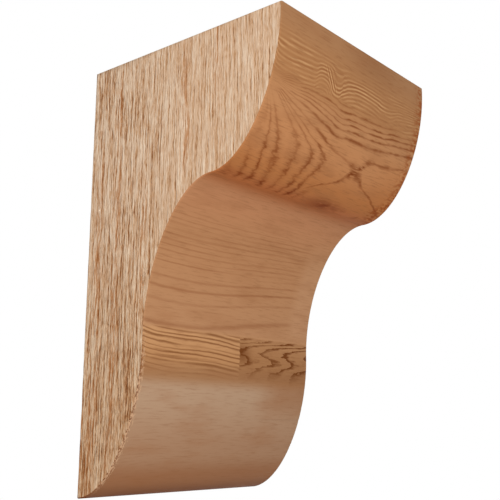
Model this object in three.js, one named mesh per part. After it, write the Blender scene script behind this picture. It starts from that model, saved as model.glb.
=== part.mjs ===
// Wooden corbel bracket: one block of timber whose front is sawn to an S-curve
// that runs from the top edge down and back to the wall.
// Millimetres, +Z up. The origin is the centre of the back face, which lies on
// the wall at y = 0. The front looks towards -Y.

import * as THREE from 'three';

// Driving dimensions.
const WIDTH = 152.4;
const DEPTH = 146.05;
const HEIGHT = 254;

// The profile is a flight of equal quarter curves, by turns round and hollow.
const QUARTER_CURVES = 3;
const HANDLE_SHARE = 0.5;
const SEGMENTS_PER_CURVE = 48;

const WOOD_COLOR = 0xb98a63;
const WOOD_ROUGHNESS = 0.75;

// The side view of the block, with x the distance out from the wall and y the
// height above the lower edge.
function corbelProfile() {
  const stepOut = DEPTH / QUARTER_CURVES;
  const stepDown = HEIGHT / QUARTER_CURVES;
  const handleOut = stepOut * HANDLE_SHARE;
  const handleDown = stepDown * HANDLE_SHARE;
  const profile = new THREE.Shape();
  profile.moveTo(0, HEIGHT);
  profile.lineTo(DEPTH, HEIGHT);
  for (let i = 0; i < QUARTER_CURVES; i += 1) {
    const startOut = DEPTH - i * stepOut;
    const startUp = HEIGHT - i * stepDown;
    const endOut = startOut - stepOut;
    const endUp = startUp - stepDown;
    const isRound = i % 2 === 0;
    if (isRound) {
      // Leaves straight down and arrives level.
      profile.bezierCurveTo(startOut, startUp - handleDown, endOut + handleOut, endUp, endOut, endUp);
    } else {
      // Leaves level and arrives straight down.
      profile.bezierCurveTo(startOut - handleOut, startUp, endOut, endUp + handleDown, endOut, endUp);
    }
  }
  profile.closePath();
  return profile;
}

// The profile extruded across the width, then stood up against the wall.
function corbelGeometry() {
  const geometry = new THREE.ExtrudeGeometry(corbelProfile(), {
    depth: WIDTH,
    steps: 1,
    bevelEnabled: false,
    curveSegments: SEGMENTS_PER_CURVE,
  });
  const outFromWall = new THREE.Vector3(0, -1, 0);
  const up = new THREE.Vector3(0, 0, 1);
  const across = new THREE.Vector3(-1, 0, 0);
  geometry.applyMatrix4(new THREE.Matrix4().makeBasis(outFromWall, up, across));
  geometry.translate(WIDTH / 2, 0, -HEIGHT / 2);
  return geometry;
}

function corbelMesh() {
  const wood = new THREE.MeshStandardMaterial({
    color: WOOD_COLOR,
    roughness: WOOD_ROUGHNESS,
    metalness: 0,
  });
  const mesh = new THREE.Mesh(corbelGeometry(), wood);
  mesh.name = 'corbel';
  return mesh;
}

const corbelBracket = new THREE.Group();
corbelBracket.add(corbelMesh());

export default corbelBracket;
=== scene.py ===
"""A cedar corbel: a smooth S-curved front with its growth rings laid bare, and rough-sawn sides."""

import math

import bpy
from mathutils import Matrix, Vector
from mathutils.geometry import interpolate_bezier


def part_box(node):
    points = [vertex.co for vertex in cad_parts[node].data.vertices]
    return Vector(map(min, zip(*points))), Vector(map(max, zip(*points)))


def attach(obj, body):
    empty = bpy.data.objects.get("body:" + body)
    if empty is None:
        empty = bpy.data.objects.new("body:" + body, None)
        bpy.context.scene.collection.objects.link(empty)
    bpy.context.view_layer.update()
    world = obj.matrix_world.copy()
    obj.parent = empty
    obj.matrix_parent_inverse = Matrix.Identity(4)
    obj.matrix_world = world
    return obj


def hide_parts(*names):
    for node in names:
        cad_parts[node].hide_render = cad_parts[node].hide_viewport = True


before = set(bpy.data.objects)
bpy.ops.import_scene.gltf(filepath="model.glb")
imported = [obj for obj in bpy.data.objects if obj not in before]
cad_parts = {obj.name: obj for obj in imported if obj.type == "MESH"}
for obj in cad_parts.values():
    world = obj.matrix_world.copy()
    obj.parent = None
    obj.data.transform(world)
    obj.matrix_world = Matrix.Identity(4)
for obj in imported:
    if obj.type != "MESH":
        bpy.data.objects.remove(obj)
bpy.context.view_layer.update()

MM = 0.001

# The block, read from the frame: its back lies on the wall at y = 0.
LOW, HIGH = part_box("corbel")
WIDTH, DEPTH, HEIGHT = HIGH - LOW
WIDTH_MM = WIDTH / MM

# The front is a flight of equal quarter curves, by turns round and hollow.
QUARTER_CURVES = 3
HANDLE_SHARE = 0.5

# How finely the block is meshed, and how deep its finish goes.
CURVE_POINTS = 128
FRONT_STEPS = 680
SIDE_STEPS = 64
WIDTH_STEPS = 8
ARRIS_STEPS = 3
ARRIS_EASE = 0.7 * MM
SAWN_DEPTH = 0.5 * MM
SAWN_SEED = 7
WELD_REACH = 0.002 * MM
RUN_POINTS = 200


def front_run():
    """Length of the curved front: that of one quarter curve as deep and as high as the whole block."""
    start, corner, end = Vector((DEPTH, 0.0)), Vector((DEPTH, HEIGHT)), Vector((0.0, HEIGHT))
    handles = (start.lerp(corner, HANDLE_SHARE), end.lerp(corner, HANDLE_SHARE))
    path = interpolate_bezier(start, *handles, end, RUN_POINTS)
    return sum((after - before).length for before, after in zip(path, path[1:]))


FRONT_RUN_MM = front_run() / MM


class Field:
    """A number that varies over a surface: a node's output that takes plain arithmetic."""

    def __init__(self, sketch, socket):
        self.sketch = sketch
        self.socket = socket

    def __add__(self, other):
        return self.sketch.math("ADD", self, other)

    def __radd__(self, other):
        return self.sketch.math("ADD", other, self)

    def __sub__(self, other):
        return self.sketch.math("SUBTRACT", self, other)

    def __rsub__(self, other):
        return self.sketch.math("SUBTRACT", other, self)

    def __mul__(self, other):
        return self.sketch.math("MULTIPLY", self, other)

    def __rmul__(self, other):
        return self.sketch.math("MULTIPLY", other, self)

    def __truediv__(self, other):
        return self.sketch.math("DIVIDE", self, other)

    def __rtruediv__(self, other):
        return self.sketch.math("DIVIDE", other, self)

    def __neg__(self):
        return self.sketch.math("MULTIPLY", self, -1.0)

    def __abs__(self):
        return self.sketch.math("ABSOLUTE", self)


class Sketch:
    """Writes a node tree: adds nodes, fills their inputs and links them."""

    def __init__(self, tree):
        self.tree = tree

    def feed(self, socket, value):
        """Links a field or a socket to the socket, or sets it to a plain value."""
        if isinstance(value, Field):
            value = value.socket
        if isinstance(value, bpy.types.NodeSocket):
            self.tree.links.new(value, socket)
        else:
            socket.default_value = value

    def node(self, kind, inputs=None, **settings):
        """A new node with these settings, and with its inputs fed by name or number."""
        made = self.tree.nodes.new(kind)
        for name, value in settings.items():
            setattr(made, name, value)
        for name, value in (inputs or {}).items():
            self.feed(made.inputs[name], value)
        return made

    def math(self, operation, *values):
        made = self.tree.nodes.new("ShaderNodeMath")
        made.operation = operation
        for socket, value in zip(made.inputs, values):
            self.feed(socket, value)
        return Field(self, made.outputs[0])

    def vector(self, x, y, z=0.0):
        return self.node("ShaderNodeCombineXYZ", {"X": x, "Y": y, "Z": z}).outputs[0]

    def parts(self, vector):
        split = self.node("ShaderNodeSeparateXYZ", {"Vector": vector})
        return [Field(self, socket) for socket in split.outputs]

    def ease(self, value, start, end):
        """Runs smoothly from 0 at start to 1 at end."""
        made = self.node(
            "ShaderNodeMapRange",
            {"Value": value, "From Min": start, "From Max": end},
            interpolation_type="SMOOTHSTEP",
        )
        return Field(self, made.outputs["Result"])

    def near(self, value, centre, reach):
        """1 at the centre, easing to 0 at that reach on either side."""
        return self.ease(abs(value - centre), reach, 0.0)

    def bend(self, value, points):
        """A smooth curve through the given (value, result) points."""
        places = [at for at, _ in points]
        results = [result for _, result in points]
        start, span = places[0], places[-1] - places[0]
        low, rise = min(results), max(results) - min(results)
        made = self.node("ShaderNodeFloatCurve", {"Value": (value - start) / span})
        drawn = made.mapping.curves[0].points
        while len(drawn) < len(points):
            drawn.new(0.5, 0.5)
        for point, (at, result) in zip(drawn, points):
            point.location = ((at - start) / span, (result - low) / rise)
        made.mapping.update()
        return Field(self, made.outputs[0]) * rise + low

    def clamp(self, value):
        """The value, held between 0 and 1."""
        return self.math("MINIMUM", self.math("MAXIMUM", value, 0.0), 1.0)

    def noise(self, x, y, layer, detail=2.0, roughness=0.5):
        """Cloudy noise round 0.5, with its grain one unit of x and y across, and new in each layer."""
        made = self.node(
            "ShaderNodeTexNoise",
            {"Vector": self.vector(x, y, layer), "Scale": 1.0, "Detail": detail, "Roughness": roughness},
        )
        return Field(self, made.outputs[0])

    def blend(self, share, first, second, mode="MIX"):
        """A colour that goes from the first towards the second, or is dyed by it with mode MULTIPLY."""
        made = self.node("ShaderNodeMix", data_type="RGBA", blend_type=mode)
        self.feed(made.inputs[0], share)
        self.feed(made.inputs[6], first)
        self.feed(made.inputs[7], second)
        return made.outputs[2]

    def tones(self, value, stops):
        """A colour that runs through (value, colour) stops."""
        start, span = stops[0][0], stops[-1][0] - stops[0][0]
        made = self.node("ShaderNodeValToRGB", {"Fac": (value - start) / span})
        ramp = made.color_ramp
        ramp.interpolation = "EASE"
        while len(ramp.elements) < len(stops):
            ramp.elements.new(0.5)
        for element, (at, colour) in zip(ramp.elements, stops):
            element.position = (at - start) / span
            element.color = colour
        return made.outputs[0]


def wood(red, green, blue):
    """A wood tone as it is read off a screen, 0 to 255, as the linear colour that shaders take."""
    def linear(level):
        share = level / 255
        return share / 12.92 if share <= 0.04045 else ((share + 0.055) / 1.055) ** 2.4
    return (linear(red), linear(green), linear(blue), 1.0)


def new_material(name, specular):
    """A bare material, its sketch and its shader."""
    material = bpy.data.materials.new(name)
    material.use_nodes = True
    shader = material.node_tree.nodes["Principled BSDF"]
    shader.inputs["Specular IOR Level"].default_value = specular
    return material, Sketch(material.node_tree), shader


def finish_wood(sketch, shader, colour, roughness, height, reach):
    """Gives the surface its colour, its roughness and fine relief of that reach, in metres."""
    bump = sketch.node("ShaderNodeBump", {"Height": height, "Distance": reach, "Strength": 1.0})
    sketch.feed(shader.inputs["Base Color"], colour)
    sketch.feed(shader.inputs["Roughness"], roughness)
    sketch.feed(shader.inputs["Normal"], bump.outputs[0])


# The smooth front

# Places on the front are in millimetres, across from the left arris and down the curve from the top.
RINGS_START, RINGS_END = 34, 103
KNOT_ACROSS = 100
CRINKLE_PITCH = 2.4
V_PITCH = 2.6
V_ACROSS, V_DOWN = 50, 27
BAND_START, BAND_END = 202, 232
BAND_BREAK = 82
BAND_PITCH = 2.6
TONGUE_PITCH = 23

# The lowest lines of the hollow: place down the curve, half width and strength.
HOLLOW_LINES = (
    (174, 1.2, 0.36),
    (179.6, 1.3, 0.48),
    (187, 1.4, 0.26),
    (199.8, 2.6, 0.4),
)

# The plain wood by its place down the curve, and the tones that lie over it. The ramp also holds painted
# shade, redder and darker, at the shoulder where the upper round turns under and towards the bottom edge,
# and a paler, greyer painted sheen on the lower round.
FRONT_TONES_SHADE_AND_SHEEN = (
    (0, wood(168, 122, 84)),
    (25, wood(173, 122, 79)),
    (34, wood(177, 125, 81)),
    (47, wood(190, 135, 91)),
    (65, wood(195, 135, 89)),
    # Redder and darker through the shoulder, where the round turns under: painted shade.
    (90, wood(187, 120, 70)),
    (102, wood(194, 118, 70)),
    (118, wood(198, 139, 98)),
    (150, wood(186, 134, 93)),
    (201, wood(185, 136, 97)),
    (205, wood(202, 151, 105)),
    (217, wood(191, 140, 95)),
    (228, wood(166, 120, 82)),
    # Paler and greyer over the lower round: a painted sheen over the wood's own tone.
    (237, wood(182, 148, 119)),
    (275, wood(171, 130, 99)),
    # Darker to the bottom edge, where the round faces down: painted shade.
    (292, wood(158, 108, 74)),
    (316, wood(106, 56, 28)),
)
SMOKED = wood(140, 92, 56)
PALE_STRIP = wood(200, 152, 114)
STAINED = wood(156, 102, 62)
WARMED = wood(184, 110, 52)
CRINKLE_CREST = wood(220, 172, 122)
CLOUDED = wood(156, 102, 64)
FIBRE_STREAK = wood(136, 88, 54)
LATE_WOOD = wood(124, 60, 20)
LATE_WOOD_RED = wood(116, 42, 2)
LATE_WOOD_BROWN = wood(116, 65, 28)
BURNT_EDGE = wood(146, 68, 16)
# Painted shadow in the gaps between the torn fibre ends on the front's left arris.
FRAY_GAP_SHADOW = wood(122, 74, 42)
FLECK_PALE = wood(206, 164, 128)
FRONT_SHEEN = 0.03


def late_wood(sketch, rings, reach):
    """1 on a ring's dark line, easing to 0 at that share of a ring beside it."""
    return sketch.near(sketch.math("FRACT", rings + 0.5), 0.5, reach)


def upper_rings(sketch, across, down, ripple, teeth):
    """The upper round's dark lines: rings that fan out from a point on the left edge, and run level to
    the right or turn down into ragged upright loops."""
    crest = sketch.bend(across, (
        (0, 41), (20, 40), (43, 38.5), (58, 39.5), (67, 41), (78, 39.8), (105, 38.7), (125, 36),
        (153, 32.7),
    ))
    fan = sketch.math("SMOOTH_MAX", 60 / (across + 3), 1.0, 0.6)
    level = sketch.bend((down - crest + 1.6 * ripple) * fan, (
        (-8, -2), (0, 0), (3.7, 1), (6.8, 2), (10.2, 3), (15, 4), (22, 5), (28, 6), (33, 7), (40, 8),
        (70, 9), (100, 10), (140, 11.5),
    ))
    loops = sketch.bend(across, (
        (0, 11.3), (15, 10), (25, 9), (42, 8), (52, 7.2), (66, 6), (78, 5.5), (92, 5.2), (101, 5.14),
        (112, 5.18), (126, 5.3), (153, 5.65),
    ))
    swing = sketch.bend(across, (
        (0, -1), (20, -0.9), (40, -0.3), (52, 0.1), (62, 0.6), (72, 0.9), (153, 0.9),
    ))
    loops = loops - swing * sketch.ease(down, 72, RINGS_END) + 0.8 * ripple
    level_share = sketch.ease(down, 66, 56)
    rings = sketch.math("SMOOTH_MIN", level, loops, 1.4) + (0.85 - 0.55 * level_share) * teeth
    core = 0.14 + 0.04 * level_share + 0.12 * sketch.ease(ripple, -0.1, 0.15)
    soft = 0.45 - 0.15 * level_share
    lines = (1 - soft) * late_wood(sketch, rings, core) + soft * late_wood(sketch, rings, 0.45)
    bold = sketch.math("MAXIMUM", sketch.ease(across, 25, 65), sketch.ease(down, 55, 85))
    strength = (0.5 + 0.4 * bold) * (0.6 + 0.6 * sketch.ease(ripple, -0.12, 0.12))
    strength = strength * (0.3 + 0.7 * sketch.ease(across, 4, 12))
    strength = strength * (1 - 0.25 * sketch.ease(down, 84, 96))
    plain = sketch.ease(level, 4.4, 4.7) * sketch.ease(across, 66, 76)
    # Dark patches at the shoulder: partly the ends of the loops, partly painted shade where the round
    # turns under.
    loop_ends_and_shade = sketch.near(down, 102, 11) * sketch.ease(ripple, 0.0, 0.12)
    zone = sketch.ease(down, RINGS_START, RINGS_START + 5) * sketch.ease(down, RINGS_END, RINGS_END - 1.5)
    return zone * (strength * lines * (1 - plain) + 0.4 * loop_ends_and_shade)


def ring_eye(sketch, across, down, ripple, teeth):
    """The eye right of the middle: one ring falls to the right and one rises, and they cross in a broad
    dark knot with pale slits, above a dark blot."""
    falling = sketch.bend(across, (
        (66, 63), (86, 66), (92, 67.3), (99, 70.6), (107, 74), (112, 77.5), (125, 81.8), (134, 85.8),
        (153, 94),
    ))
    rising = sketch.bend(across, (
        (66, 92), (73, 87), (83, 82.5), (89, 79.2), (93, 75.2), (99, 70.6), (104, 65.4), (107, 62.4),
        (113, 61.4), (125, 60.8), (134, 59.4), (153, 56),
    ))
    course = down + 2.5 * teeth + 2 * ripple
    knot = sketch.near(across, KNOT_ACROSS, 16)
    reach = 1.2 + 5.2 * knot
    broad = 1.3 * sketch.near(across, 129, 14)
    fall_line = sketch.near(course, falling, reach)
    rise_line = sketch.near(course, rising, reach + broad)
    slits = sketch.noise(across / 9, down / 1.3, 41.0, detail=1)
    arms = sketch.math("MAXIMUM", fall_line, rise_line) * (1 - 0.8 * knot * sketch.ease(slits, 0.52, 0.6))
    strength = 0.45 + 0.5 * sketch.ease(ripple, -0.1, 0.1) + 0.4 * knot
    arms = arms * strength * sketch.ease(across, 64, 72)
    blot = sketch.near(across, 94, 22) * sketch.near(down, 99, 9) * sketch.ease(teeth, -0.3, 0.0)
    return arms + 0.8 * blot


def crinkled_growth(sketch, across, down, ripple):
    """Fine crinkled growth below the top edge, from -1 in its valleys to 1 on its crests, with a sharp
    V left of the middle."""
    path = sketch.bend(across, (
        (0, 0), (9, 3), (20, 2.5), (35, 1), (43, -2.5), (50, 0.5), (57, 5.5), (62, 3), (72, -1),
        (82, -2.4), (98, -1.6), (107, -0.5), (125, -5), (153, -10),
    ))
    course = down - path * sketch.ease(down, 14, 30) + 1.2 * ripple
    slant = across - 0.75 * (down - V_DOWN)
    arm = sketch.near(slant, V_ACROSS, 6) * sketch.near(down, V_DOWN, 9)
    waves = sketch.math("SINE", course * (math.tau / CRINKLE_PITCH)) * (1 - arm)
    waves = waves + 1.5 * arm * sketch.math("SINE", slant * (math.tau / V_PITCH))
    patch = sketch.noise(across / 22, down / 5, 17.0, detail=1)
    bright = sketch.near(course, V_DOWN, 7) * sketch.ease(across, 32, 44) * sketch.ease(across, 112, 100)
    left = sketch.ease(across, 52, 30)
    clear = 0.1 + 0.15 * left + (0.35 + 0.2 * left) * sketch.ease(patch, 0.44, 0.6) + 0.75 * bright
    return waves * clear * sketch.ease(down, 9, 24) * sketch.ease(down, RINGS_START + 4, RINGS_START)


def hollow_lines(sketch, across, down, ripple):
    """The hollow's long thin lines, which sag a little and then rise to the right, and fade out there."""
    rise = sketch.bend(across, ((0, 0), (30, -1.0), (60, 0.3), (90, 3.2), (125, 6.5), (153, 8)))
    course = down + rise * sketch.math("MAXIMUM", (down - 118) / 56, 0.0) + 0.7 * ripple
    stray = sketch.noise(across / 90, course / 2.4, 21.0, detail=2)
    fine = late_wood(sketch, course / 3.1 + 0.9 * stray, 0.3) * sketch.ease(stray, 0.3, 0.6)
    lines = 0.4 * fine * sketch.ease(down, 126, 144) * sketch.ease(course, 172.5, 169)
    for at, reach, strength in HOLLOW_LINES:
        lines = lines + strength * sketch.near(course, at, reach)
    return lines * sketch.ease(down, BAND_START + 1, BAND_START - 1) * sketch.ease(across, 138, 126)


def band_lines(sketch, across, down, ripple, teeth):
    """The golden band's dark lines: long ones on the left of an upright break, tongues on its right."""
    right = sketch.ease(across - BAND_BREAK - 3 * teeth, -0.5, 0.5)
    drop = sketch.bend(across, ((0, 0), (8, 1.4), (22, 2.4), (50, 2.6), (82, 5.0), (153, 8)))
    stray = sketch.noise(across / 80, (down - drop) / 3, 24.0, detail=2)
    run = (down - 203.6 - drop + 1.2 * ripple) / BAND_PITCH + 1.3 * (stray - 0.5)
    long_lines = late_wood(sketch, run, 0.36) * sketch.ease(stray, 0.22, 0.55)
    zigzag = sketch.bend(down, (
        (201, 62), (204.5, 46), (206, 28), (207.5, 14), (210.5, 2), (212, 0), (215, 10), (217, 13),
        (218.5, 9), (222, -5), (232, -14),
    ))
    tongue = sketch.math("FRACT", (across - 101 - zigzag) / TONGUE_PITCH + 0.9 * teeth + 0.5 * ripple)
    patch = sketch.near(across, BAND_BREAK + 2, 14) * sketch.near(down, 213, 10)
    bold = 0.7 + 0.45 * sketch.ease(across, 108, 126)
    tongues = bold * sketch.ease(tongue, 0.45, 0.0) + 0.46 + 0.6 * patch
    zone = sketch.ease(down, BAND_START, BAND_START + 1.5) * sketch.ease(down, BAND_END, BAND_END - 13)
    return zone * (long_lines + right * (tongues - long_lines))


def plain_front(sketch, across, down):
    """The front's wood without its lines: tones that change down the curve, with painted shade at the
    shoulder and the bottom edge and a painted sheen on the lower round, and with a smoky patch under the
    top edge, a warm part at the right of the upper round, a pale strip at the right of the hollow, and a
    stain below the band."""
    # The tones down the curve carry painted shade at the shoulder and the bottom edge, and a painted
    # sheen on the lower round.
    colour = sketch.tones(down, FRONT_TONES_SHADE_AND_SHEEN)
    smoke = sketch.near(across, 92, 42) * sketch.ease(down, 26, 2)
    colour = sketch.blend(0.45 * smoke, colour, SMOKED)
    strip = sketch.ease(across, 126, 140) * sketch.ease(down, 128, 160) * sketch.ease(down, 203, 192)
    colour = sketch.blend(0.45 * strip, colour, PALE_STRIP)
    stain = sketch.ease(across, 96, 130) * sketch.near(down, 238, 22)
    colour = sketch.blend(0.6 * stain, colour, STAINED)
    glow = sketch.ease(across, 104, 150) * sketch.near(down, 78, 34)
    return sketch.blend(0.4 * glow, colour, WARMED)


def worn_edges(sketch, across, down, colour):
    """The colour with its worn edges: burnt flecks down the right arris of the upper round, and torn
    fibre ends along the left arris of the lower round, pale, with painted shadow in the gaps between
    them."""
    edge = sketch.noise(across / 4, down / 2, 29.0, detail=2)
    burnt = sketch.ease(across + 8 * sketch.near(down, 92, 12), 140, 152) * sketch.ease(edge, 0.42, 0.58)
    colour = sketch.blend(0.8 * burnt * sketch.ease(down, 118, 96), colour, BURNT_EDGE)
    flecks = sketch.noise(across / 0.9, down / 2.2, 33.0, detail=2, roughness=0.6)
    # Pale fibre ends, with painted shadow in the gaps between them.
    fleck_and_gap_shadow = sketch.blend(sketch.ease(flecks, 0.45, 0.55), FRAY_GAP_SHADOW, FLECK_PALE)
    frayed = sketch.ease(flecks - 0.12 * across, 0.22, 0.4) * sketch.ease(down, 196, 230)
    return sketch.blend(0.8 * frayed * sketch.ease(down, 308, 290), colour, fleck_and_gap_shadow)


def smooth_front():
    """Sanded wood on the curved front, with the figure that the curved cut lays bare."""
    material, sketch, shader = new_material("sanded_front", FRONT_SHEEN)
    sheet = sketch.node("ShaderNodeUVMap", uv_map="front_sheet")
    share_across, share_up, _ = sketch.parts(sheet.outputs[0])
    across = share_across * WIDTH_MM
    down = (1 - share_up) * FRONT_RUN_MM
    fibre = sketch.noise(across / 12, down / 1.1, 3.0, detail=3, roughness=0.6)
    cloud = sketch.noise(across / 34, down / 10, 11.0, detail=3)
    teeth = sketch.noise(across / 9, down / 1.8, 5.0, detail=3, roughness=0.6) - 0.5
    ripple = sketch.noise(across / 13, down / 10, 8.0, detail=2) - 0.5

    crinkle = crinkled_growth(sketch, across, down, ripple)
    lines = upper_rings(sketch, across, down, ripple, teeth)
    lines = lines + ring_eye(sketch, across, down, ripple, teeth)
    lines = lines + hollow_lines(sketch, across, down, ripple)
    lines = lines + band_lines(sketch, across, down, ripple, teeth)
    lines = lines + 0.55 * sketch.math("MAXIMUM", -crinkle, 0.0)
    late_tone = sketch.blend(sketch.near(down, 98, 34), LATE_WOOD, LATE_WOOD_RED)
    in_band = sketch.ease(down, BAND_START - 2, BAND_START + 2)
    late_tone = sketch.blend(in_band, late_tone, LATE_WOOD_BROWN)

    colour = plain_front(sketch, across, down)
    colour = sketch.blend(0.6 * sketch.math("MAXIMUM", crinkle, 0.0), colour, CRINKLE_CREST)
    colour = sketch.blend(0.32 * sketch.ease(cloud, 0.45, 0.75), colour, CLOUDED)
    streaked = 0.45 - 0.15 * sketch.ease(down, 98, 106)
    colour = sketch.blend(streaked * sketch.ease(fibre, 0.48, 0.74), colour, FIBRE_STREAK)
    colour = sketch.blend(sketch.math("MINIMUM", 0.75 * lines, 1.0), colour, late_tone)
    colour = worn_edges(sketch, across, down, colour)
    finish_wood(sketch, shader, colour, 0.5 + 0.2 * fibre, fibre - 0.6 * lines, 0.04 * MM)
    return material


# The sawn faces

# Warm streaks in the sawn sides, in millimetres: y and z of the middle, half width and half length.
SAWN_STREAKS = (
    (-1, -95, 2, 90),
    (-8, -40, 6, 200),
    (-24, -10, 5, 240),
    (-46, 0, 4, 70),
    (-77, 80, 5, 60),
    (-101, 115, 4, 50),
)

# The sides from their torn gaps to their raised fibres, darker in the gaps partly as darker wood and
# partly as painted shade, and the back from low to raised.
SIDE_TONES_AND_GAP_SHADE = (
    (-0.16, wood(150, 94, 52)),
    (-0.08, wood(202, 155, 114)),
    (0.0, wood(225, 188, 154)),
    (0.14, wood(243, 216, 188)),
)
BACK_TONES = (
    (0.25, wood(178, 132, 98)),
    (0.5, wood(204, 164, 130)),
    (0.75, wood(220, 184, 152)),
)
# Multiplied in to make the sides darker towards the bottom.
SIDE_DARKENING_BELOW = wood(246, 238, 227)
WARM_STREAK = wood(190, 122, 70)
# Darker wood and painted shade in the torn grooves.
GROOVE_WOOD_AND_SHADE = wood(134, 78, 40)
BACK_STREAK = wood(180, 126, 86)
END_GRAIN = wood(190, 146, 110)
END_RING = wood(140, 92, 58)
SAW_MARK = wood(206, 166, 132)
OPEN_PORE = wood(146, 100, 68)
SAWN_SHEEN = 0.05

# The heart of the tree, which the end grain's rings run round, lies behind the wall. In millimetres.
HEART_X, HEART_Y = -60, 190
END_RING_PITCH = 3.1


def place_on_block(sketch):
    """Place on the block as x, y and z in millimetres."""
    place = sketch.node("ShaderNodeTexCoord").outputs["Object"]
    return [part / MM for part in sketch.parts(place)]


def coarseness(sketch, y, z):
    """How coarse the sawn side is: calm near the top of the front, torn towards the back and below."""
    return 0.35 + 0.4 * sketch.ease(y, -95, -20) + 0.35 * sketch.ease(z, 40, -90)


def sawn_side():
    """Rough-sawn wood on the two sides: pale upright fibres with torn, darker gaps between them, darker
    partly as darker wood and partly as painted shade.
    """
    material, sketch, shader = new_material("rough_sawn_side", SAWN_SHEEN)
    x, y, z = place_on_block(sketch)
    layer = x / 9
    groove = Field(sketch, sketch.node("ShaderNodeAttribute", attribute_name="groove").outputs["Fac"])
    coarse = coarseness(sketch, y, z)
    lane = y + 3 * (sketch.noise(y / 22, z / 60, layer, detail=1) - 0.5)
    lane = lane + 1.4 * (sketch.noise(y / 3, z / 7, layer + 50, detail=1) - 0.5)
    dash = sketch.noise(lane / 0.55, z / 5, layer + 10, detail=3, roughness=0.6)
    strand = sketch.noise(lane / 0.8, z / 24, layer + 30, detail=1)
    fibre = (0.5 * dash + 0.5 * strand - 0.5) * (0.5 + coarse)
    # Darkest in the torn gaps: partly darker wood, partly painted shade.
    colour = sketch.tones(fibre, SIDE_TONES_AND_GAP_SHADE)
    # The sides darker towards the bottom.
    colour = sketch.blend(sketch.ease(z, 60, -90), colour, SIDE_DARKENING_BELOW, "MULTIPLY")
    drift = lane + 6 * (sketch.noise(y / 9, z / 24, layer + 70, detail=2) - 0.5)
    for streak_y, streak_z, reach, length in SAWN_STREAKS:
        streak = sketch.near(drift, streak_y, reach) * sketch.near(z, streak_z, length)
        colour = sketch.blend(0.6 * streak * sketch.ease(fibre, 0.05, -0.06), colour, WARM_STREAK)
    # The mesh's torn grooves darkened: partly darker wood, partly painted shade in the recesses.
    colour = sketch.blend(0.7 * groove, colour, GROOVE_WOOD_AND_SHADE)
    finish_wood(sketch, shader, colour, 0.85 + 0.2 * dash, fibre, 1.3 * MM)
    return material


def sawn_back():
    """The plain back: sawn wood, calmer than the sides."""
    material, sketch, shader = new_material("sawn_back", SAWN_SHEEN)
    x, _, z = place_on_block(sketch)
    hair = sketch.noise(x / 0.7, z / 16, 2.0, detail=3, roughness=0.6)
    streak = sketch.noise(x / 5, z / 120, 6.0, detail=2)
    colour = sketch.tones(hair, BACK_TONES)
    colour = sketch.blend(0.45 * sketch.ease(streak, 0.45, 0.75), colour, BACK_STREAK)
    finish_wood(sketch, shader, colour, 0.8 + 0.2 * hair, hair, 0.2 * MM)
    return material


def end_grain_top():
    """The sawn top: end grain, with the growth rings as shallow arcs."""
    material, sketch, shader = new_material("end_grain_top", SAWN_SHEEN)
    x, y, _ = place_on_block(sketch)
    wander = sketch.noise(x / 40, y / 40, 4.0) - 0.5
    aside, ahead = x - HEART_X, y - HEART_Y
    from_heart = sketch.math("SQRT", aside * aside + ahead * ahead) + 6 * wander
    stray = sketch.noise(from_heart / 7, wander, 14.0, detail=2)
    rings = sketch.math("FRACT", from_heart / END_RING_PITCH + 2.4 * stray)
    speck = sketch.noise(x / 0.6, y / 0.6, 9.0, detail=3, roughness=0.7)
    saw = sketch.noise(x / 60, y / 0.9, 19.0, detail=2)
    colour = sketch.blend(0.7 * stray * sketch.ease(rings, 0.35, 1.0), END_GRAIN, END_RING)
    colour = sketch.blend(0.4 * sketch.ease(saw, 0.45, 0.7), colour, SAW_MARK)
    colour = sketch.blend(0.6 * sketch.ease(speck, 0.5, 0.75), colour, OPEN_PORE)
    finish_wood(sketch, shader, colour, 0.8 + 0.2 * speck, speck, 0.2 * MM)
    return material


# The block

# Each face's number on the mesh, and the inputs that the block is made from.
FRONT, SIDE, TOP, BACK = range(4)
BLOCK_INPUTS = (
    ("Width", "NodeSocketFloat", WIDTH),
    ("Depth", "NodeSocketFloat", DEPTH),
    ("Height", "NodeSocketFloat", HEIGHT),
    ("Handle Share", "NodeSocketFloat", HANDLE_SHARE),
    ("Front Steps", "NodeSocketInt", FRONT_STEPS),
    ("Side Steps", "NodeSocketInt", SIDE_STEPS),
    ("Width Steps", "NodeSocketInt", WIDTH_STEPS),
    ("Arris Steps", "NodeSocketInt", ARRIS_STEPS),
    ("Arris Ease", "NodeSocketFloat", ARRIS_EASE),
    ("Sawn Depth", "NodeSocketFloat", SAWN_DEPTH),
    ("Sawn Seed", "NodeSocketInt", SAWN_SEED),
)


def quarter_curves(sketch, size, handle_share):
    """The side view of the front, from the top edge down and back to the wall."""
    step = 1 / QUARTER_CURVES
    join = sketch.node("GeometryNodeJoinGeometry")
    # The join takes its newest link first, so the lowest curve is linked first.
    for i in reversed(range(QUARTER_CURVES)):
        out, up = 1 - i * step, 0.5 - i * step
        start, end = (out, up), (out - step, up - step)
        corner = (out, up - step) if i % 2 == 0 else (out - step, up)
        places = []
        for share_out, share_up in (start, corner, end):
            shares = {0: size, 1: (0.0, -share_out, share_up)}
            places.append(sketch.node("ShaderNodeVectorMath", shares, operation="MULTIPLY").outputs[0])
        handles = []
        for anchor in (places[0], places[2]):
            mix = sketch.node("ShaderNodeMix", data_type="VECTOR")
            sketch.feed(mix.inputs[0], handle_share)
            sketch.feed(mix.inputs[4], anchor)
            sketch.feed(mix.inputs[5], places[1])
            handles.append(mix.outputs[1])
        curve = sketch.node(
            "GeometryNodeCurvePrimitiveBezierSegment",
            {"Resolution": CURVE_POINTS, "Start": places[0], "Start Handle": handles[0],
             "End Handle": handles[1], "End": places[2]},
        )
        sketch.tree.links.new(curve.outputs[0], join.inputs[0])
    return join.outputs[0]


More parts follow.
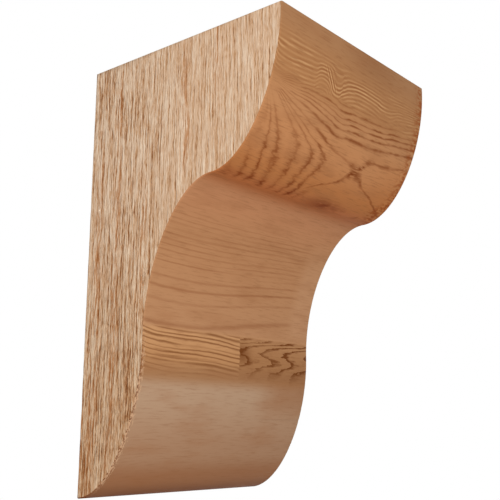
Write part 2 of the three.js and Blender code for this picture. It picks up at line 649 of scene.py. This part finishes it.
def block_tree(front, side, top, back):
    """The block by its rule: five sheets that share their edges, welded, with the saw's torn grain
    pressed into the two sides and each face in its own finish."""
    tree = bpy.data.node_groups.new("corbel_block", "GeometryNodeTree")
    tree.interface.new_socket("Geometry", in_out="OUTPUT", socket_type="NodeSocketGeometry")
    for name, kind, _ in BLOCK_INPUTS:
        tree.interface.new_socket(name, in_out="INPUT", socket_type=kind)
    sketch = Sketch(tree)
    group_input = tree.nodes.new("NodeGroupInput")
    given = {socket.name: Field(sketch, socket) for socket in group_input.outputs if socket.name}
    width, height, ease = given["Width"], given["Height"], given["Arris Ease"]
    size = sketch.vector(width, given["Depth"], height)
    profile = quarter_curves(sketch, size, given["Handle Share"])

    def along_front(share):
        """Place and slope of the profile at a share of its run: y, z, slope in y, slope in z."""
        sample = sketch.node("GeometryNodeSampleCurve", {"Curves": profile, "Factor": share},
                             mode="FACTOR", use_all_curves=True)
        _, y, z = sketch.parts(sample.outputs["Position"])
        _, slope_y, slope_z = sketch.parts(sample.outputs["Tangent"])
        return y, z, slope_y, slope_z

    def over_width(share):
        """Place across the width at a share of its columns, and how far the eased arris falls back."""
        steps, arris = given["Width Steps"], given["Arris Steps"]
        column = share * steps
        left = sketch.clamp((arris - column) / arris)
        right = sketch.clamp((column - steps + arris) / arris)
        main = sketch.clamp((column - arris) / (steps - 2 * arris))
        quarter = math.pi / 2
        swell = sketch.math("SINE", right * quarter) - sketch.math("SINE", left * quarter)
        x = (main - 0.5) * (width - 2 * ease) + ease * swell
        fall = ease * (1 - sketch.math("COSINE", (left + right) * quarter))
        return x, fall

    def sheet(columns, rows, place, face, smooth, uv_name=None):
        """A grid whose points go where place(share_x, share_y) puts them."""
        grid = sketch.node("GeometryNodeMeshGrid", {
            "Size X": 1.0, "Size Y": 1.0, "Vertices X": columns + 1, "Vertices Y": rows + 1,
        })
        share_x, share_y, _ = sketch.parts(grid.outputs["UV Map"])
        x, y, z = place(share_x, share_y)
        made = sketch.node("GeometryNodeSetPosition", {
            "Geometry": grid.outputs["Mesh"], "Position": sketch.vector(x, y, z),
        })
        if uv_name:
            spot = sketch.vector(x / width + 0.5, share_y)
            made = sketch.node("GeometryNodeStoreNamedAttribute", {
                "Geometry": made.outputs[0], "Name": uv_name, "Value": spot,
            }, data_type="FLOAT2", domain="CORNER")
        made = sketch.node("GeometryNodeSetShadeSmooth", {0: made.outputs[0], "Shade Smooth": smooth})
        made = sketch.node("GeometryNodeStoreNamedAttribute", {
            "Geometry": made.outputs[0], "Name": "face", "Value": face,
        }, data_type="INT", domain="FACE")
        return made.outputs[0]

    def front_place(share_x, share_y):
        x, fall = over_width(share_x)
        y, z, slope_y, slope_z = along_front(1 - share_y)
        return x, y - fall * slope_z, z + fall * slope_y

    def side_place(hand):
        def place(share_x, share_y):
            run = share_x if hand > 0 else 1 - share_x
            y, z, slope_y, slope_z = along_front(run)
            low = z + ease * slope_y
            return hand * 0.5 * width, y - ease * slope_z, low + share_y * (0.5 * height - low)
        return place

    def top_place(share_x, share_y):
        x, fall = over_width(share_x)
        y, _, _, slope_z = along_front(share_y)
        return x, y - ease * slope_z + (fall - ease) * (1 - share_y), 0.5 * height

    def back_place(share_x, share_y):
        x, fall = over_width(1 - share_x)
        low = fall - 0.5 * height
        return x, 0.0, low + share_y * (0.5 * height - low)

    run, rows, columns = given["Front Steps"], given["Side Steps"], given["Width Steps"]
    sheets = (
        sheet(columns, run, front_place, FRONT, True, "front_sheet"),
        sheet(run, rows, side_place(-1), SIDE, True),
        sheet(run, rows, side_place(1), SIDE, True),
        sheet(columns, run, top_place, TOP, False),
        sheet(columns, rows, back_place, BACK, False),
    )
    join = sketch.node("GeometryNodeJoinGeometry")
    for made in sheets:
        tree.links.new(made, join.inputs[0])
    welded = sketch.node("GeometryNodeMergeByDistance", {
        "Geometry": join.outputs[0], "Distance": WELD_REACH,
    })

    # Torn grain on the sides, easing off round the arrises.
    x, y, z = sketch.parts(sketch.node("GeometryNodeInputPosition").outputs[0])
    hand = sketch.math("SIGN", x)
    on_side = sketch.math("MAXIMUM", (abs(x) - 0.5 * width + ease) / ease, 0.0)
    groove = torn_grain(sketch, hand, y / MM, z / MM, given["Sawn Seed"])
    marked = sketch.node("GeometryNodeStoreNamedAttribute", {
        "Geometry": welded.outputs[0], "Name": "groove", "Value": groove,
    }, data_type="FLOAT", domain="POINT")
    pressed = sketch.node("GeometryNodeSetPosition", {
        "Geometry": marked.outputs[0],
        "Offset": sketch.vector(-hand * on_side * groove * given["Sawn Depth"], 0.0, 0.0),
    })
    whole = sketch.node("GeometryNodeRealizeInstances", {"Geometry": pressed.outputs[0]})

    # The sides' finish goes on all over, and the other faces then take their own.
    face = sketch.node("GeometryNodeInputNamedAttribute", {"Name": "face"}, data_type="INT").outputs[0]
    dressed = sketch.node("GeometryNodeSetMaterial", {"Geometry": whole.outputs[0], "Material": side})
    for number, material in ((FRONT, front), (TOP, top), (BACK, back)):
        here = sketch.node("FunctionNodeCompare", {2: face, 3: number},
                           data_type="INT", operation="EQUAL")
        dressed = sketch.node("GeometryNodeSetMaterial", {
            "Geometry": dressed.outputs[0], "Selection": here.outputs[0], "Material": material,
        })
    tree.links.new(dressed.outputs[0], tree.nodes.new("NodeGroupOutput").inputs[0])
    return tree


def torn_grain(sketch, hand, y, z, seed):
    """How deep the saw tore the upright grain, from 0 on the face to 1, at y and z in millimetres."""
    layer = hand * 5 + seed
    lane = y + 4 * (sketch.noise(y / 25, z / 60, layer, detail=1) - 0.5)
    lane = lane + 1.4 * (sketch.noise(y / 3, z / 9, layer + 60, detail=1) - 0.5)
    strand = sketch.noise(lane / 0.95, z / 9, layer + 20, detail=2, roughness=0.6)
    tear = sketch.noise(lane / 1.5, z / 18, layer + 40, detail=2, roughness=0.6)
    fine = sketch.ease(strand, 0.42, 0.32)
    deep = sketch.ease(tear, 0.38, 0.32)
    return sketch.math("MINIMUM", coarseness(sketch, y, z) * (0.5 * fine + 0.9 * deep), 1.0)


def make_block():
    """The corbel as one plain mesh."""
    tree = block_tree(smooth_front(), sawn_side(), end_grain_top(), sawn_back())
    holder = bpy.data.objects.new("corbel_block", bpy.data.meshes.new("corbel_block"))
    bpy.context.scene.collection.objects.link(holder)
    modifier = holder.modifiers.new("block", "NODES")
    modifier.node_group = tree
    sockets = [item for item in tree.interface.items_tree if item.in_out == "INPUT"]
    identifiers = {socket.name: socket.identifier for socket in sockets}
    for name, _, value in BLOCK_INPUTS:
        modifier[identifiers[name]] = value
    depsgraph = bpy.context.evaluated_depsgraph_get()
    mesh = bpy.data.meshes.new_from_object(holder.evaluated_get(depsgraph), depsgraph=depsgraph)
    holder.modifiers.remove(modifier)
    holder.data = mesh
    return holder


# The studio

CAMERA_PLACE = (-0.3957, -0.3854, -0.0931)
CAMERA_TURN = math.radians(50.0244)
CAMERA_PITCH = math.radians(14.8559)
CAMERA_LENS = 60.77
CAMERA_SENSOR = 36.0
CAMERA_SHIFT = (0.0201, -0.0770)
CAMERA_NEAR = 0.01

KEY_PLACE = Vector((-1.0, -1.16, -0.05))
KEY_AIM = Vector((0.0, -0.05, 0.0))
KEY_SIZE = 0.7
KEY_POWER = 12.4

WHITE = (1.0, 1.0, 1.0, 1.0)
SWEEP_GLOW = 0.5
SWEEP_LIFT = 0.08

FLOOR_DROP = 0.5
FLOOR_RADIUS = 6.0
FLOOR_SIDES = 96
FLOOR_PAINT = (0.9, 0.9, 0.9, 1.0)
FLOOR_ROUGHNESS = 0.9
FLOOR_SHEEN = 0.1
FLOOR_GLOW = 0.5


def set_camera():
    """A camera low on the left, which looks up at the front and the left side."""
    camera = bpy.data.objects.new("camera", bpy.data.cameras.new("camera"))
    camera.location = CAMERA_PLACE
    camera.rotation_euler = (math.pi / 2 + CAMERA_PITCH, 0.0, -CAMERA_TURN)
    camera.data.lens = CAMERA_LENS
    camera.data.sensor_width = CAMERA_SENSOR
    camera.data.shift_x, camera.data.shift_y = CAMERA_SHIFT
    camera.data.clip_start = CAMERA_NEAR
    bpy.context.scene.collection.objects.link(camera)
    bpy.context.scene.camera = camera


def set_key_light():
    """One broad soft light from the front and the left."""
    lamp = bpy.data.lights.new("key_light", "AREA")
    lamp.shape = "DISK"
    lamp.size = KEY_SIZE
    lamp.energy = KEY_POWER
    light = bpy.data.objects.new("key_light", lamp)
    light.location = KEY_PLACE
    light.rotation_euler = (KEY_AIM - KEY_PLACE).to_track_quat("-Z", "Y").to_euler()
    bpy.context.scene.collection.objects.link(light)


def set_sweep():
    """A white sweep all round, which shines a little more from above."""
    scene = bpy.context.scene
    scene.view_settings.view_transform = "Standard"
    scene.world = bpy.data.worlds.new("white_sweep")
    scene.world.use_nodes = True
    sketch = Sketch(scene.world.node_tree)
    background = scene.world.node_tree.nodes["Background"]
    background.inputs["Color"].default_value = WHITE
    seen = Field(sketch, sketch.node("ShaderNodeLightPath").outputs["Is Camera Ray"])
    _, _, up = sketch.parts(sketch.node("ShaderNodeTexCoord").outputs["Generated"])
    glow = SWEEP_GLOW + SWEEP_LIFT * sketch.ease(up, -0.6, 0.5)
    sketch.feed(background.inputs["Strength"], glow + seen * (1.0 - glow))


def lay_floor():
    """A plain pale floor, well below the corbel."""
    floor_place = (0, 0, LOW.z - FLOOR_DROP)
    bpy.ops.mesh.primitive_circle_add(
        vertices=FLOOR_SIDES, radius=FLOOR_RADIUS, fill_type="NGON", location=floor_place,
    )
    floor = bpy.context.object
    floor.name = "floor"
    paint, _, shader = new_material("pale_floor", FLOOR_SHEEN)
    shader.inputs["Base Color"].default_value = FLOOR_PAINT
    shader.inputs["Roughness"].default_value = FLOOR_ROUGHNESS
    shader.inputs["Emission Color"].default_value = WHITE
    shader.inputs["Emission Strength"].default_value = FLOOR_GLOW
    floor.data.materials.append(paint)
    floor.visible_diffuse = False


corbel = make_block()
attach(corbel, "root")
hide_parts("corbel")
set_camera()
set_key_light()
set_sweep()
lay_floor()
